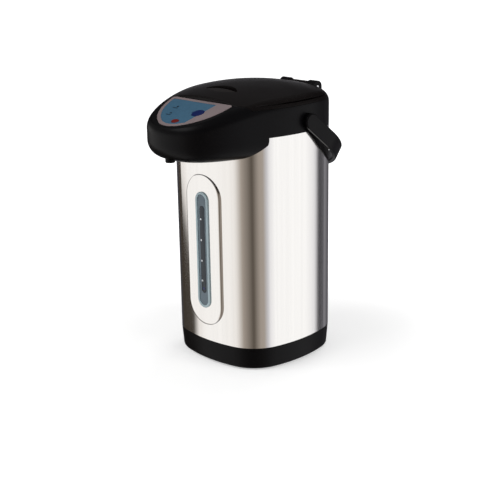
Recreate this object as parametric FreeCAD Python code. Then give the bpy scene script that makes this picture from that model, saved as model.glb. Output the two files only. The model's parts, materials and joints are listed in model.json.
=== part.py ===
import FreeCAD, Part
import math
import os

# Electric thermo pot, about five litres. Millimetres, +Z up, nose towards -Y.
# The origin is the middle of the foot ring, on the surface that the pot stands on.

Vector = FreeCAD.Vector
Placement = FreeCAD.Placement
Rotation = FreeCAD.Rotation

# Plan of the pot: a rounded square with bowed sides
half_width = 94.0
side_radius = 200.0
corner_radius = 55.0

# Heights of the casing
foot_height = 1.5
steel_bottom = 32.5
steel_top = 318.0
seam_height = 354.0
lid_top = 377.0

# Walls and clearances
plastic_wall = 2.5
steel_wall = 0.8
fit_gap = 0.15
moving_gap = 0.4
pin_gap = 0.05
screw_gap = 0.1

# Head: dome, shoulder and nose
dome_radius = 330.0
shoulder_radius = 16.0
nose_reach = 161.0
nose_bottom = 291.0
nose_underside_radius = 22.0
nose_side_pull = 70.0
nose_front_pull = 58.0
bib_rear = 54.5
bib_radius = 26.0
ridge_radius = 4.0
deck_drop = 2.0
deck_wall = 2.5
tongue_depth = 9.0
tongue_wall = 1.6
throat_radius = 70.0
throat_top_radius = 79.0
throat_wall = 2.0

# Lid
lid_front = 86.5
lid_front_half = 60.0
lid_front_sweep = 30.0
lid_gap = 0.4
lid_edge_radius = 3.0
vent_radius = 8.0
vent_y = 58.0
lid_groove_height = 359.4
lid_groove_width = 1.4
lid_groove_inset = 5.7
underplate_wall = 2.0
plug_bottom = 321.0
lid_screw_radius = 90.0
lid_screw_head = 1.3
gasket_radius = 70.0

# Lid hinge
hinge_y = 96.0
hinge_z = 360.0
ear_radius = 8.3
ear_inner = 18.5
ear_width = 14.5
knuckle_radius = 6.5
hinge_pin_radius = 2.0

# Lid lever and latch
lens_half = 29.0
lens_middle = 55.0
lens_front = 66.0
lens_rear = 42.0
lever_rear = 52.0
lever_drop = 0.8
lever_thickness = 4.0
lever_pivot_y = 62.0
lever_barrel_radius = 1.7
lever_pin_radius = 0.8
lever_front_gap = 1.0
pocket_floor = 364.5
pocket_wall = 2.0
latch_half = 14.0
latch_thickness = 2.5

# Control panel, on the sloping top of the nose
panel_y = 88.0
panel_z = 360.4
panel_slope = 19.2
panel_half = 56.0
panel_depth = 69.0
panel_corner = 4.0
panel_tip_radius = 38.0
panel_recess = 2.2
panel_floor = 2.3
bezel_proud = 0.5
overlay_drop = 0.3
board_drop = 9.0
board_thickness = 1.6
switch_height = 1.6

# Keys and lamps, in the panel's own plane
dispense_place = (21.0, -29.7)
dispense_half = (9.2, 8.2)
reboil_place = (4.5, -55.5)
reboil_half = (6.0, 4.4)
key_end_share = 0.68
key_proud = 0.9
key_travel = 1.2
key_gap = 0.3
lamp_places = ((-25.5, -22.0), (-21.0, -39.4))
lamp_radius = 1.6

# Gauge down the front
gauge_bottom = 79.0
gauge_top = 241.0
gauge_width = 24.0
gauge_rim = 3.4
gauge_proud = 1.8
pad_half = 31.0
pad_bottom = 55.0
pad_top = 264.0
pad_spread = 5.0
pad_round = 4.0
pad_plane = 94.8
slot_bottom = 100.0
slot_top = 222.0
slot_width = 9.5
slot_depth = 0.6
tube_y = 86.8
tube_radius = 4.3
tube_bore = 3.2
tube_bottom = 62.0
tube_top = 300.0
float_radius = 2.7
float_seat_radius = 1.8

# Inner pot
pot_radius = 80.0
pot_wall = 1.0
pot_bottom = 77.0
pot_corner = 12.0
pot_flange_radius = 85.0
seal_height = 2.0
seal_outer = 79.0
outlet_y = 52.0
nipple_radius = 5.0
nipple_bore = 4.0
nipple_length = 12.0

# Screws on the diagonals of the plan
pot_screw_radius = 86.0
tie_rod_place = 94.0
tie_rod_radius = 2.0
boss_radius = 4.0
tie_boss_radius = 3.6
bottom_screw_place = 82.0
bottom_boss_radius = 5.0

# Base
skirt_draft = 2.5
skirt_bottom_radius = 4.5
shelf_height = 12.0
shelf_wall = 2.5
shelf_opening = 70.0
cover_bottom = 3.0
cover_wall = 2.5
foot_outer = 77.0
foot_inner = 69.0
heater_radius = 44.0
heater_height = 6.0
board_height = 12.0
board_half = 40.0
board_front = 2.0
board_rear = 48.0

# Pump
pump_radius = 17.0
pump_wall = 2.5
pump_bottom = 38.0
pump_top = 54.0
pump_nozzle_top = 63.5
pump_outlet_z = 47.0
motor_radius = 13.5
motor_bottom = 14.0
shaft_radius = 1.5
hose_radius = 5.4

# Spout
spout_y = 147.0
spout_radius = 6.4
spout_bore = 3.2
spout_bottom = 289.5
spout_flange = 8.0
spout_seat = 302.0
spout_hose_z = 326.5
spout_barb_top = 309.0
spout_hose_bends = (11.0, 14.0)

# Mains inlet in the back of the base
inlet_half = 14.0
inlet_bottom = 8.0
inlet_top = 29.0
inlet_depth = 20.0
inlet_proud = 1.0
inlet_wall = 2.4
inlet_back_wall = 3.0
inlet_pin_length = 12.0

# Carry handle
handle_y = 10.0
handle_z = 332.0
handle_rest = -38.0
handle_inner_half = 96.2
handle_thickness = 6.0
handle_width = 21.0
handle_straight = 45.0
handle_bow = 75.5
handle_corner = 68.0
stud_radius = 5.0
stud_inner = 86.5
clip_thickness = 1.1
clip_radius = 8.0
clip_groove = 1.0
handle_edge = 1.6

reach = side_radius - half_width
corner_centre = (math.sqrt(2 * (side_radius - corner_radius) ** 2 - reach ** 2) - reach) / 2
side_angle = math.atan2(corner_centre, corner_centre + reach)
corner_reach = corner_centre * math.sqrt(2) + corner_radius
deck_top = seam_height - deck_drop
deck_bottom = deck_top - deck_wall
seal_top = steel_top - 1.0 + seal_height
lid_bottom = seam_height + lid_gap
panel_angle = math.radians(panel_slope)
steel_front = pad_plane - steel_wall
far = 300.0


def save(node, shape):
    """Write one sub-part."""
    shape.exportStep("parts/" + node + ".step")


def polar(angle, radius):
    return Vector(radius * math.cos(angle), radius * math.sin(angle), 0)


def block(x, y, z):
    """A box from three pairs of limits."""
    return Part.makeBox(x[1] - x[0], y[1] - y[0], z[1] - z[0], Vector(x[0], y[0], z[0]))


def rod(radius, low, high, x=0.0, y=0.0):
    return Part.makeCylinder(radius, high - low, Vector(x, y, low))


def ring(outer, inner, low, high, x=0.0, y=0.0):
    return rod(outer, low, high, x, y).cut(rod(inner, low - 1, high + 1, x, y))


def cross_rod(radius, left, right, y, z):
    """A cylinder along X."""
    return Part.makeCylinder(radius, right - left, Vector(left, y, z), Vector(1, 0, 0))


def turned(profile, x=0.0, y=0.0):
    """A solid of revolution about a vertical line, from (radius, height) points."""
    points = [Vector(x + r, y, z) for r, z in profile]
    wire = Part.makePolygon(points + [points[0]])
    return Part.Face(wire).revolve(Vector(x, y, 0), Vector(0, 0, 1), 360)


def arc(start, middle, end):
    return Part.Arc(start, middle, end).toShape()


def joined(shapes):
    first = shapes[0]
    return first.multiFuse(list(shapes[1:])).removeSplitter() if len(shapes) > 1 else first


def diagonals(radius):
    """The four places on the plan's diagonals, at a distance from the axis."""
    return [polar(math.radians(45 + 90 * k), radius) for k in range(4)]


def screw(radius, head_radius, head_height, low, high, place):
    """A pan-head screw that stands on its head, driven upwards."""
    head = rod(head_radius, low, low + head_height, place.x, place.y)
    drive = rod(head_radius * 0.35, low, low + head_height * 0.5, place.x, place.y)
    return head.cut(drive).fuse(rod(radius, low + head_height, high, place.x, place.y)).removeSplitter()


def side_edge(turn, inset, z):
    """One bowed side of the plan, turned by a number of quarter turns."""
    centre = Vector(-reach, 0, z)
    points = [centre + polar(angle, side_radius - inset) for angle in (-side_angle, 0, side_angle)]
    spin = Rotation(Vector(0, 0, 1), 90 * turn)
    return arc(*[spin.multVec(point) for point in points])


def corner_edge(turn, inset, z):
    """The corner that follows that side, counter-clockwise."""
    centre = Vector(corner_centre, corner_centre, z)
    angles = (side_angle, math.pi / 4, math.pi / 2 - side_angle)
    points = [centre + polar(angle, corner_radius - inset) for angle in angles]
    spin = Rotation(Vector(0, 0, 1), 90 * turn)
    return arc(*[spin.multVec(point) for point in points])


def plan_wire(inset, z):
    edges = []
    for turn in range(4):
        edges += [side_edge(turn, inset, z), corner_edge(turn, inset, z)]
    return Part.Wire(edges)


def plan_prism(inset, low, high):
    return Part.Face(plan_wire(inset, low)).extrude(Vector(0, 0, high - low))


def plan_ring(outer_inset, inner_inset, low, high):
    return plan_prism(outer_inset, low, high).cut(plan_prism(inner_inset, low - 1, high + 1))


def nose_edge(side, inset, z):
    """One flank of the nose in plan, from the front tip to the pot's side, which it leaves smoothly."""
    radius = side_radius - inset
    root_x = radius * math.cos(side_angle) - reach
    root_y = -radius * math.sin(side_angle)
    pull = nose_side_pull - inset / 2
    tip = -nose_reach + inset
    poles = [
        Vector(0, tip, z),
        Vector(side * (nose_front_pull - inset / 2), tip, z),
        Vector(side * (root_x - pull * math.sin(side_angle)), root_y - pull * math.cos(side_angle), z),
        Vector(side * root_x, root_y, z),
    ]
    curve = Part.BezierCurve()
    curve.setPoles(poles)
    return curve.toShape()


def head_wire(inset, z):
    """The head in plan: the pot's own outline behind, the nose in front."""
    edges = [nose_edge(1, inset, z), side_edge(0, inset, z), corner_edge(0, inset, z), side_edge(1, inset, z)]
    edges += [corner_edge(1, inset, z), side_edge(2, inset, z), nose_edge(-1, inset, z)]
    return Part.Wire(Part.__sortEdges__(edges))


def nose_block(inset, gap):
    """The part of the nose that hangs below the collar, in front of and beside the steel casing."""
    low = nose_bottom + inset
    right = nose_edge(1, inset, low)
    left = nose_edge(-1, inset, low)
    ends = [max((v.Point for v in e.Vertexes), key=lambda p: p.y) for e in (right, left)]
    wire = Part.Wire(Part.__sortEdges__([right, Part.makeLine(ends[0], ends[1]), left]))
    solid = Part.Face(wire).extrude(Vector(0, 0, steel_top - low))
    rims = [e for e in solid.Edges if abs(e.BoundBox.ZMax - low) < 0.01 and e.BoundBox.YLength > 10]
    solid = solid.makeFillet(nose_underside_radius - inset, rims)
    rear = bib_rear + inset
    round_z = low + bib_radius - inset
    round_y = -rear - bib_radius + inset
    corner = block((-far, far), (round_y, -rear), (low - 1, round_z))
    corner = corner.cut(cross_rod(bib_radius - inset, -far - 1, far + 1, round_y, round_z))
    solid = solid.cut(corner).cut(block((-far, far), (-rear, 0), (low - 1, steel_top + 1)))
    return solid.cut(plan_prism(-gap, low - 1, steel_top + 1))


def dome(inset):
    return Part.makeSphere(dome_radius - inset, Vector(0, 0, lid_top - dome_radius))


def crown(inset):
    """The head above the steel, lid and nose in one, with its rounded shoulder."""
    solid = Part.Face(head_wire(inset, steel_top)).extrude(Vector(0, 0, lid_top - steel_top + 5))
    solid = solid.common(dome(inset))
    top = [face for face in solid.Faces if isinstance(face.Surface, Part.Sphere)][0]
    return solid.makeFillet(shoulder_radius - inset, top.Edges)


def lid_zone(clearance, low):
    """Everything behind the lid's front edge: straight in the middle, swept back at the corners."""
    sweep = math.tan(math.radians(lid_front_sweep))
    front = -lid_front - clearance
    half = lid_front_half
    side = 130.0
    points = [
        Vector(-half, front, low),
        Vector(half, front, low),
        Vector(side, front + (side - half) * sweep, low),
        Vector(side, side, low),
        Vector(-side, side, low),
        Vector(-side, front + (side - half) * sweep, low),
    ]
    return Part.Face(Part.makePolygon(points + [points[0]])).extrude(Vector(0, 0, 80))


def on_panel(shape):
    """Move a shape from the panel's own plane, with its top edge on the X axis, to its place on the nose."""
    place = Placement(Vector(0, -panel_y, panel_z), Rotation(Vector(1, 0, 0), panel_slope))
    shape.Placement = place.multiply(shape.Placement)
    return shape


def oval_prism(half_x, half_y, end_radius, low, high):
    """An oval of four arcs that meet smoothly, round the Z axis."""
    long = max(half_x, half_y)
    short = min(half_x, half_y)
    side = (long ** 2 + short ** 2 - 2 * long * end_radius) / (2 * (short - end_radius))
    angle = math.atan2(side - short, long - end_radius)
    end_x = long - end_radius + end_radius * math.cos(angle)
    end_y = end_radius * math.sin(angle)
    edges = [
        arc(Vector(end_x, -end_y, low), Vector(long, 0, low), Vector(end_x, end_y, low)),
        arc(Vector(end_x, end_y, low), Vector(0, short, low), Vector(-end_x, end_y, low)),
        arc(Vector(-end_x, end_y, low), Vector(-long, 0, low), Vector(-end_x, -end_y, low)),
        arc(Vector(-end_x, -end_y, low), Vector(0, -short, low), Vector(end_x, -end_y, low)),
    ]
    prism = Part.Face(Part.Wire(edges)).extrude(Vector(0, 0, high - low))
    if half_y > half_x:
        prism.rotate(Vector(0, 0, 0), Vector(0, 0, 1), 90)
    return prism


def panel_outline(inset, low, high):
    """The half oval of the panel as a prism in the panel's own plane."""
    prism = oval_prism(panel_half - inset, panel_depth - inset, panel_tip_radius - inset, low, high)
    prism = prism.common(block((-far, far), (-far, -inset), (low - 1, high + 1)))
    corners = [e for e in prism.Edges if e.BoundBox.ZLength > high - low - 0.01 and e.BoundBox.YMax > -inset - 0.1]
    return prism.makeFillet(panel_corner - inset * 0.5, corners)


def oval(half, place, grow, low, high):
    """An oval prism in the panel's own plane, its long axis along the wider half size."""
    prism = oval_prism(half[0] + grow, half[1] + grow, half[1] * key_end_share + grow, low, high)
    prism.translate(Vector(place[0], place[1], 0))
    return prism


def stadium(half, low, high, near, away):
    """An upright pill in the XZ plane, extruded along Y from near to away."""
    top = high - half
    bottom = low + half
    edges = [
        arc(Vector(half, near, top), Vector(0, near, high), Vector(-half, near, top)),
        Part.makeLine(Vector(-half, near, top), Vector(-half, near, bottom)),
        arc(Vector(-half, near, bottom), Vector(0, near, low), Vector(half, near, bottom)),
        Part.makeLine(Vector(half, near, bottom), Vector(half, near, top)),
    ]
    return Part.Wire(edges), away - near


def pill(half, low, high, near, away):
    wire, length = stadium(half, low, high, near, away)
    return Part.Face(wire).extrude(Vector(0, length, 0))


def bent_rod(points, bends, radius):
    """A round rod along straight runs joined by tangent bends."""
    pieces = []
    start = points[0]
    for before, here, after, bend in zip(points, points[1:], points[2:], bends):
        into = (here - before).normalize()
        out = (after - here).normalize()
        turn = into.getAngle(out)
        trim = bend * math.tan(turn / 2)
        first = here - into * trim
        inward = (out - into * into.dot(out)).normalize()
        axis = into.cross(out)
        section = Part.Face(Part.Wire([Part.makeCircle(radius, first, into)]))
        pieces.append(Part.makeCylinder(radius, (first - start).Length, start, into))
        pieces.append(section.revolve(first + inward * bend, axis, math.degrees(turn)))
        start = here + out * trim
    last = (points[-1] - start).normalize()
    pieces.append(Part.makeCylinder(radius, (points[-1] - start).Length, start, last))
    return joined(pieces)


def bent_hose(points, bends, outer, inner):
    return bent_rod(points, bends, outer).cut(bent_rod(points, bends, inner))


def steel_casing():
    """Brushed steel sleeve with a flat pad pressed out for the gauge."""
    def body(inset):
        solid = plan_prism(inset, steel_bottom - inset, steel_top + inset)
        grow = pad_spread
        wide = stadium(pad_half + grow - inset, pad_bottom - grow + inset, pad_top + grow - inset, -88.0, 0)[0]
        flat = -pad_plane + inset
        narrow = stadium(pad_half - inset, pad_bottom + inset, pad_top - inset, flat, 0)[0]
        pad = Part.makeLoft([wide, narrow], True, True)
        rim = [e for e in pad.Edges if e.BoundBox.YMax < flat + 0.01]
        return solid.fuse(pad.makeFillet(pad_round - inset, rim)).removeSplitter()
    shell = body(0).cut(body(steel_wall))
    return shell.cut(pill(gauge_width / 2 - 1.0, gauge_bottom + 1.0, gauge_top - 1.0, -100, -85))


def gauge_bezel():
    half = gauge_width / 2
    flange = pill(half, gauge_bottom, gauge_top, -pad_plane - gauge_proud, -pad_plane)
    front = [e for e in flange.Edges if abs(e.BoundBox.YMax + pad_plane + gauge_proud) < 0.01]
    flange = flange.makeFillet(0.9, front)
    neck = pill(half - 1.0 - fit_gap, gauge_bottom + 1.0 + fit_gap, gauge_top - 1.0 - fit_gap, -pad_plane, -91.6)
    opening = pill(half - gauge_rim, gauge_bottom + gauge_rim, gauge_top - gauge_rim, -100, -85)
    return flange.fuse(neck).cut(opening).removeSplitter()


def gauge_window():
    """Tinted strip inside the bezel, with a sunk lens strip in front of the tube."""
    inset = gauge_rim + fit_gap
    half = gauge_width / 2 - inset
    strip = pill(half, gauge_bottom + inset, gauge_top - inset, -pad_plane - 0.8, -92.0)
    return strip.cut(pill(slot_width / 2, slot_bottom, slot_top, -100, -pad_plane - 0.8 + slot_depth))


def gauge_tube():
    """Clear riser tube; the float rests on the step in its bore."""
    seat = slot_bottom - 2.0
    outer = rod(tube_radius, tube_bottom, tube_top, 0, -tube_y)
    bore = rod(tube_bore, seat, tube_top + 1, 0, -tube_y)
    return outer.cut(bore).cut(rod(float_seat_radius, tube_bottom - 1, seat + 1, 0, -tube_y))


def gauge_float():
    seat = slot_bottom - 2.0
    height = seat + math.sqrt(float_radius ** 2 - float_seat_radius ** 2) + 0.25
    return Part.makeSphere(float_radius, Vector(0, -tube_y, height))


def base_skirt():
    """Moulded base ring with an inner shelf, a tongue that enters the casing, and screw bosses."""
    outer = Part.makeLoft([plan_wire(skirt_draft, foot_height), plan_wire(0, steel_bottom)], True, True)
    rims = [e for e in outer.Edges if e.BoundBox.ZMax < foot_height + 0.01]
    outer = outer.makeFillet(skirt_bottom_radius, rims)
    lower = plan_prism(skirt_draft + plastic_wall + 0.2, 0, shelf_height)
    upper = plan_prism(plastic_wall + 0.1, shelf_height + shelf_wall, steel_bottom + 1)
    solid = outer.cut(lower).cut(upper).cut(rod(shelf_opening, 0, steel_bottom))
    tongue_outer = steel_wall + fit_gap
    solid = solid.fuse(plan_ring(tongue_outer, tongue_outer + tongue_wall, steel_bottom - 1.5, steel_bottom + 8))
    shelf_top = shelf_height + shelf_wall
    for place in diagonals(bottom_screw_place):
        solid = solid.fuse(rod(bottom_boss_radius, shelf_top, shelf_top + 8, place.x, place.y))
    for place in diagonals(tie_rod_place):
        solid = solid.fuse(rod(tie_boss_radius, shelf_top, shelf_top + 5, place.x, place.y))
        solid = solid.cut(rod(tie_rod_radius + fit_gap, 0, steel_bottom, place.x, place.y))
    for place in diagonals(bottom_screw_place):
        solid = solid.cut(rod(1.5 + screw_gap, 0, shelf_top + 6.5, place.x, place.y))
    rear = (shelf_opening - 5, half_width + 10)
    inlet = block((-inlet_half - fit_gap, inlet_half + fit_gap), rear, (inlet_bottom - fit_gap, inlet_top + fit_gap))
    return solid.cut(inlet).removeSplitter()


def bottom_cover():
    """Plate that closes the base, with screw posts, the motor's cradle and the board's posts."""
    inset = skirt_draft + plastic_wall + 0.2 + moving_gap
    floor = cover_bottom + cover_wall
    solid = plan_prism(inset, cover_bottom, floor)
    for place in diagonals(bottom_screw_place):
        solid = solid.fuse(rod(bottom_boss_radius, floor, shelf_height, place.x, place.y))
    solid = solid.fuse(ring(motor_radius + 3, motor_radius + fit_gap, floor, motor_bottom + 6, 0, -outlet_y))
    solid = solid.fuse(rod(motor_radius + 3, floor, motor_bottom, 0, -outlet_y))
    for x, y in board_post_places():
        solid = solid.fuse(rod(3.2, floor, board_height, x, y))
    for place in diagonals(bottom_screw_place):
        solid = solid.cut(rod(1.5 + screw_gap, 0, shelf_height + 1, place.x, place.y))
        solid = solid.cut(rod(3.2, 0, cover_bottom + 1.6, place.x, place.y))
    for x, y in board_post_places():
        solid = solid.cut(rod(1.1, floor, board_height + 1, x, y))
    groove = ring(foot_outer + fit_gap, foot_inner - fit_gap, cover_bottom - 1, cover_bottom + 1.0)
    inlet = block((-inlet_half - fit_gap, inlet_half + fit_gap), (70, 120), (inlet_bottom - fit_gap, inlet_top))
    return solid.cut(groove).cut(inlet).removeSplitter()


def foot_ring():
    top = cover_bottom + 1.0
    edge = 0.8
    profile = [
        (foot_inner + edge, 0), (foot_outer - edge, 0), (foot_outer, edge), (foot_outer, top),
        (foot_inner, top), (foot_inner, edge),
    ]
    return turned(profile)


def board_post_places():
    inner = 5.0
    xs = (-board_half + inner, board_half - inner)
    ys = (board_front + inner, board_rear - inner)
    return [(x, y) for x in xs for y in ys]


def power_board():
    """Circuit board with its transformer, relay, capacitors and heat sink soldered on."""
    top = board_height + board_thickness
    solid = block((-board_half, board_half), (board_front, board_rear), (board_height, top))
    solid = solid.fuse(block((-28, 0), (14, 40), (top, top + 22)))
    solid = solid.fuse(block((6, 22), (12, 26), (top, top + 15)))
    solid = solid.fuse(block((25, 28), (14, 38), (top, top + 20)))
    for x in (9, 19):
        solid = solid.fuse(rod(4.5, top, top + 16, x, 37))
    for x, y in board_post_places():
        solid = solid.cut(rod(1.7, 0, top + 1, x, y))
    return solid.removeSplitter()


def board_screws():
    top = board_height + board_thickness
    solids = []
    for x, y in board_post_places():
        head = rod(2.6, top, top + 1.8, x, y).cut(rod(0.9, top + 0.9, top + 2, x, y))
        solids.append(head.fuse(rod(1.0, top - 6, top, x, y)).removeSplitter())
    return Part.makeCompound(solids)


def inlet_socket():
    """Recessed mains inlet with chamfered top corners."""
    back = half_width + inlet_proud
    front = back - inlet_depth - inlet_back_wall
    body = block((-inlet_half, inlet_half), (front, back), (inlet_bottom, inlet_top))
    half = inlet_half - inlet_wall
    low = inlet_bottom + inlet_wall
    high = inlet_top - inlet_wall
    cut = 4.0
    points = [
        Vector(-half, 0, low), Vector(half, 0, low), Vector(half, 0, high - cut),
        Vector(half - cut, 0, high), Vector(cut - half, 0, high), Vector(-half, 0, high - cut),
    ]
    recess = Part.Face(Part.makePolygon(points + [points[0]])).extrude(Vector(0, inlet_depth + 1, 0))
    recess.translate(Vector(0, back - inlet_depth, 0))
    body = body.cut(recess)
    for pin in inlet_pin_boxes():
        body = body.cut(pin)
    lip = block((-inlet_half - 3, inlet_half + 3), (front, front + 4), (shelf_height + shelf_wall, inlet_top))
    keep = block((-inlet_half, inlet_half), (front - 1, front + 5), (0, inlet_top + 1))
    return body.fuse(lip.cut(keep)).removeSplitter()


def inlet_pin_boxes():
    back = half_width + inlet_proud
    root = back - inlet_depth - inlet_back_wall - 6.0
    tip = back - inlet_depth + inlet_pin_length
    middle = (inlet_bottom + inlet_top) / 2
    pins = []
    for x, z in ((-7.0, middle - 2.0), (7.0, middle - 2.0), (0.0, middle + 2.0)):
        pins.append(block((x - 1.0, x + 1.0), (root, tip), (z - 2.0, z + 2.0)))
    return pins


def pump_housing():
    """Round pump chamber with its inlet nozzle on top and its outlet towards the front."""
    y = -outlet_y
    solid = rod(pump_radius, pump_bottom, pump_top, 0, y).fuse(rod(nipple_radius, pump_top, pump_nozzle_top, 0, y))
    outlet = Part.makeCylinder(nipple_radius, 22.5, Vector(0, y, pump_outlet_z), Vector(0, -1, 0))
    outlet_bore = Part.makeCylinder(nipple_bore, 24, Vector(0, y, pump_outlet_z), Vector(0, -1, 0))
    solid = solid.fuse(outlet)
    chamber = rod(pump_radius - pump_wall, pump_bottom + pump_wall, pump_top - pump_wall, 0, y)
    bore = rod(nipple_bore, pump_top - pump_wall - 1, pump_nozzle_top + 1, 0, y)
    shaft = rod(shaft_radius + pin_gap, pump_bottom - 1, pump_bottom + pump_wall + 1, 0, y)
    return solid.cut(chamber).cut(outlet_bore).cut(bore).cut(shaft).removeSplitter()


def pump_motor():
    solid = rod(motor_radius, motor_bottom, pump_bottom, 0, -outlet_y)
    return solid.cut(rod(shaft_radius + pin_gap, motor_bottom + 5, pump_bottom + 1, 0, -outlet_y))


def pump_impeller():
    """Shaft, disc and six swept vanes."""
    y = -outlet_y
    floor = pump_bottom + pump_wall + 0.5
    radius = pump_radius - pump_wall - 1.5
    solid = rod(shaft_radius, motor_bottom + 5.5, floor + 7, 0, y).fuse(rod(radius, floor, floor + 1.6, 0, y))
    solid = solid.fuse(rod(3.2, floor, floor + 6, 0, y))
    limit = ring(radius, 2.5, floor, floor + 6, 0, y)
    for k in range(6):
        sweep = ring(9.0, 8.0, floor + 1.0, floor + 6, 0, y - 8.5)
        sweep = sweep.cut(block((-20, 0), (y - 30, y + 10), (floor, floor + 10)))
        sweep.rotate(Vector(0, y, 0), Vector(0, 0, 1), 60 * k)
        solid = solid.fuse(sweep.common(limit))
    return solid.removeSplitter()


def pump_inlet_hose():
    outer = nipple_radius + 2.0
    return ring(outer, nipple_radius + 0.05, pump_top + 1.5, pot_bottom - 4.0, 0, -outlet_y)


def pump_outlet_hose():
    start = Vector(0, -outlet_y - pump_radius - 1.0, pump_outlet_z)
    corner = Vector(0, -tube_y, pump_outlet_z)
    end = Vector(0, -tube_y, tube_bottom + 8)
    return bent_hose([start, corner, end], [8.5], hose_radius, nipple_bore).cut(
        rod(tube_radius + 0.02, tube_bottom, tube_bottom + 9, 0, -tube_y)).cut(
        Part.makeCylinder(nipple_radius + 0.02, 6.5, Vector(0, start.y + 1, pump_outlet_z), Vector(0, -1, 0)))


def spout_hose():
    """Silicone hose from the top of the gauge tube over the casing's edge to the spout."""
    start = Vector(0, -tube_y, tube_top - 8)
    rise = Vector(0, -tube_y, spout_hose_z)
    drop = Vector(0, -spout_y, spout_hose_z)
    end = Vector(0, -spout_y, spout_seat + 2)
    hose = bent_hose([start, rise, drop, end], spout_hose_bends, hose_radius, 3.4)
    hose = hose.cut(rod(tube_radius + 0.02, tube_top - 9, tube_top, 0, -tube_y))
    return hose.cut(rod(spout_bore + 1.32, spout_seat, spout_barb_top, 0, -spout_y))


def spout_nozzle():
    barb = spout_bore + 1.3
    profile = [
        (spout_bore, spout_bottom), (spout_radius - 0.6, spout_bottom), (spout_radius, spout_bottom + 0.6),
        (spout_radius, spout_seat), (spout_flange, spout_seat), (spout_flange, spout_seat + 2),
        (barb, spout_seat + 2), (barb, spout_barb_top), (spout_bore, spout_barb_top),
    ]
    return turned(profile, 0, -spout_y)


def inner_pot():
    """Drawn steel pot, hung by its flange, with an outlet nipple in its floor."""
    low = pot_bottom
    inner_floor = low + pot_wall
    flange_low = steel_top - 2.0
    flange_top = steel_top - 1.0
    outer = rod(pot_radius, low, flange_top)
    outer = outer.makeFillet(pot_corner, [e for e in outer.Edges if e.BoundBox.ZMax < low + 0.01])
    inner = rod(pot_radius - pot_wall, inner_floor, flange_top + 5)
    inner = inner.makeFillet(pot_corner - pot_wall, [e for e in inner.Edges if e.BoundBox.ZMax < inner_floor + 0.01])
    flange = rod(pot_flange_radius, flange_low, flange_top)
    for place in diagonals(pot_screw_radius):
        flange = flange.fuse(rod(4.5, flange_low, flange_top, place.x, place.y))
    solid = outer.fuse(flange).fuse(rod(nipple_radius, low - nipple_length, low + 0.5, 0, -outlet_y)).cut(inner)
    solid = solid.cut(rod(nipple_bore, low - nipple_length - 1, low + 5, 0, -outlet_y))
    for place in diagonals(pot_screw_radius):
        solid = solid.cut(rod(1.5 + screw_gap, flange_low - 1, flange_top + 1, place.x, place.y))
    return solid.cut(rod(hose_radius + 0.6, flange_low - 5, flange_top + 1, 0, -tube_y)).removeSplitter()


def pot_strainer():
    """Slotted cap over the outlet in the pot's floor."""
    floor = pot_bottom + pot_wall
    y = -outlet_y
    solid = rod(9.0, floor, floor + 5, 0, y).cut(rod(8.2, floor - 1, floor + 4.2, 0, y))
    for k in range(6):
        slot = block((-0.8, 0.8), (y, y + 12), (floor + 1, floor + 3.4))
        slot.rotate(Vector(0, y, 0), Vector(0, 0, 1), 60 * k)
        solid = solid.cut(slot)
    return solid


def heater_plate():
    """Cast heating plate with its ring element, pressed against the pot's floor."""
    low = pot_bottom - heater_height
    solid = rod(heater_radius, low, pot_bottom)
    middle = heater_radius - 12
    profile = [(middle - 4, low + 0.5), (middle - 2.5, low - 4), (middle + 2.5, low - 4), (middle + 4, low + 0.5)]
    solid = solid.fuse(turned(profile))
    for x in (-8, 8):
        solid = solid.fuse(rod(2.5, low - 9, low + 1, x, heater_radius - 12))
    return solid.removeSplitter()


def thermostat():
    top = pot_bottom - heater_height
    solid = rod(8.5, top - 3, top).fuse(rod(7.0, top - 12, top - 3))
    for x in (-4, 4):
        solid = solid.fuse(block((x - 0.4, x + 0.4), (-3, 3), (top - 18, top - 12)))
    return solid.removeSplitter()


def tie_rods():
    """Long bolts on the diagonals that pull head and base against the casing."""
    rods = [screw(tie_rod_radius, 3.4, 2.5, shelf_height - 2.5, deck_bottom - 8, p) for p in diagonals(tie_rod_place)]
    return Part.makeCompound(rods)


def pot_screws():
    top = steel_top - 2.0
    return Part.makeCompound([screw(1.5, 2.8, 2.2, top - 2.2, top + 12, p) for p in diagonals(pot_screw_radius)])


def bottom_screws():
    low = cover_bottom
    high = shelf_height + shelf_wall + 6
    return Part.makeCompound([screw(1.5, 2.8, 1.6, low, high, p) for p in diagonals(bottom_screw_place)])


def pot_rim_seal():
    return ring(seal_outer, throat_radius, seal_top - seal_height, seal_top)


def throat(offset, low, high):
    """The funnel under the lid, as a cone that widens upwards."""
    slope = (throat_top_radius - throat_radius) / (deck_top - seal_top)
    bottom = throat_radius + offset + (low - seal_top) * slope
    top = throat_radius + offset + (high - seal_top) * slope
    return Part.makeCone(bottom, top, high - low, Vector(0, 0, low))


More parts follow.
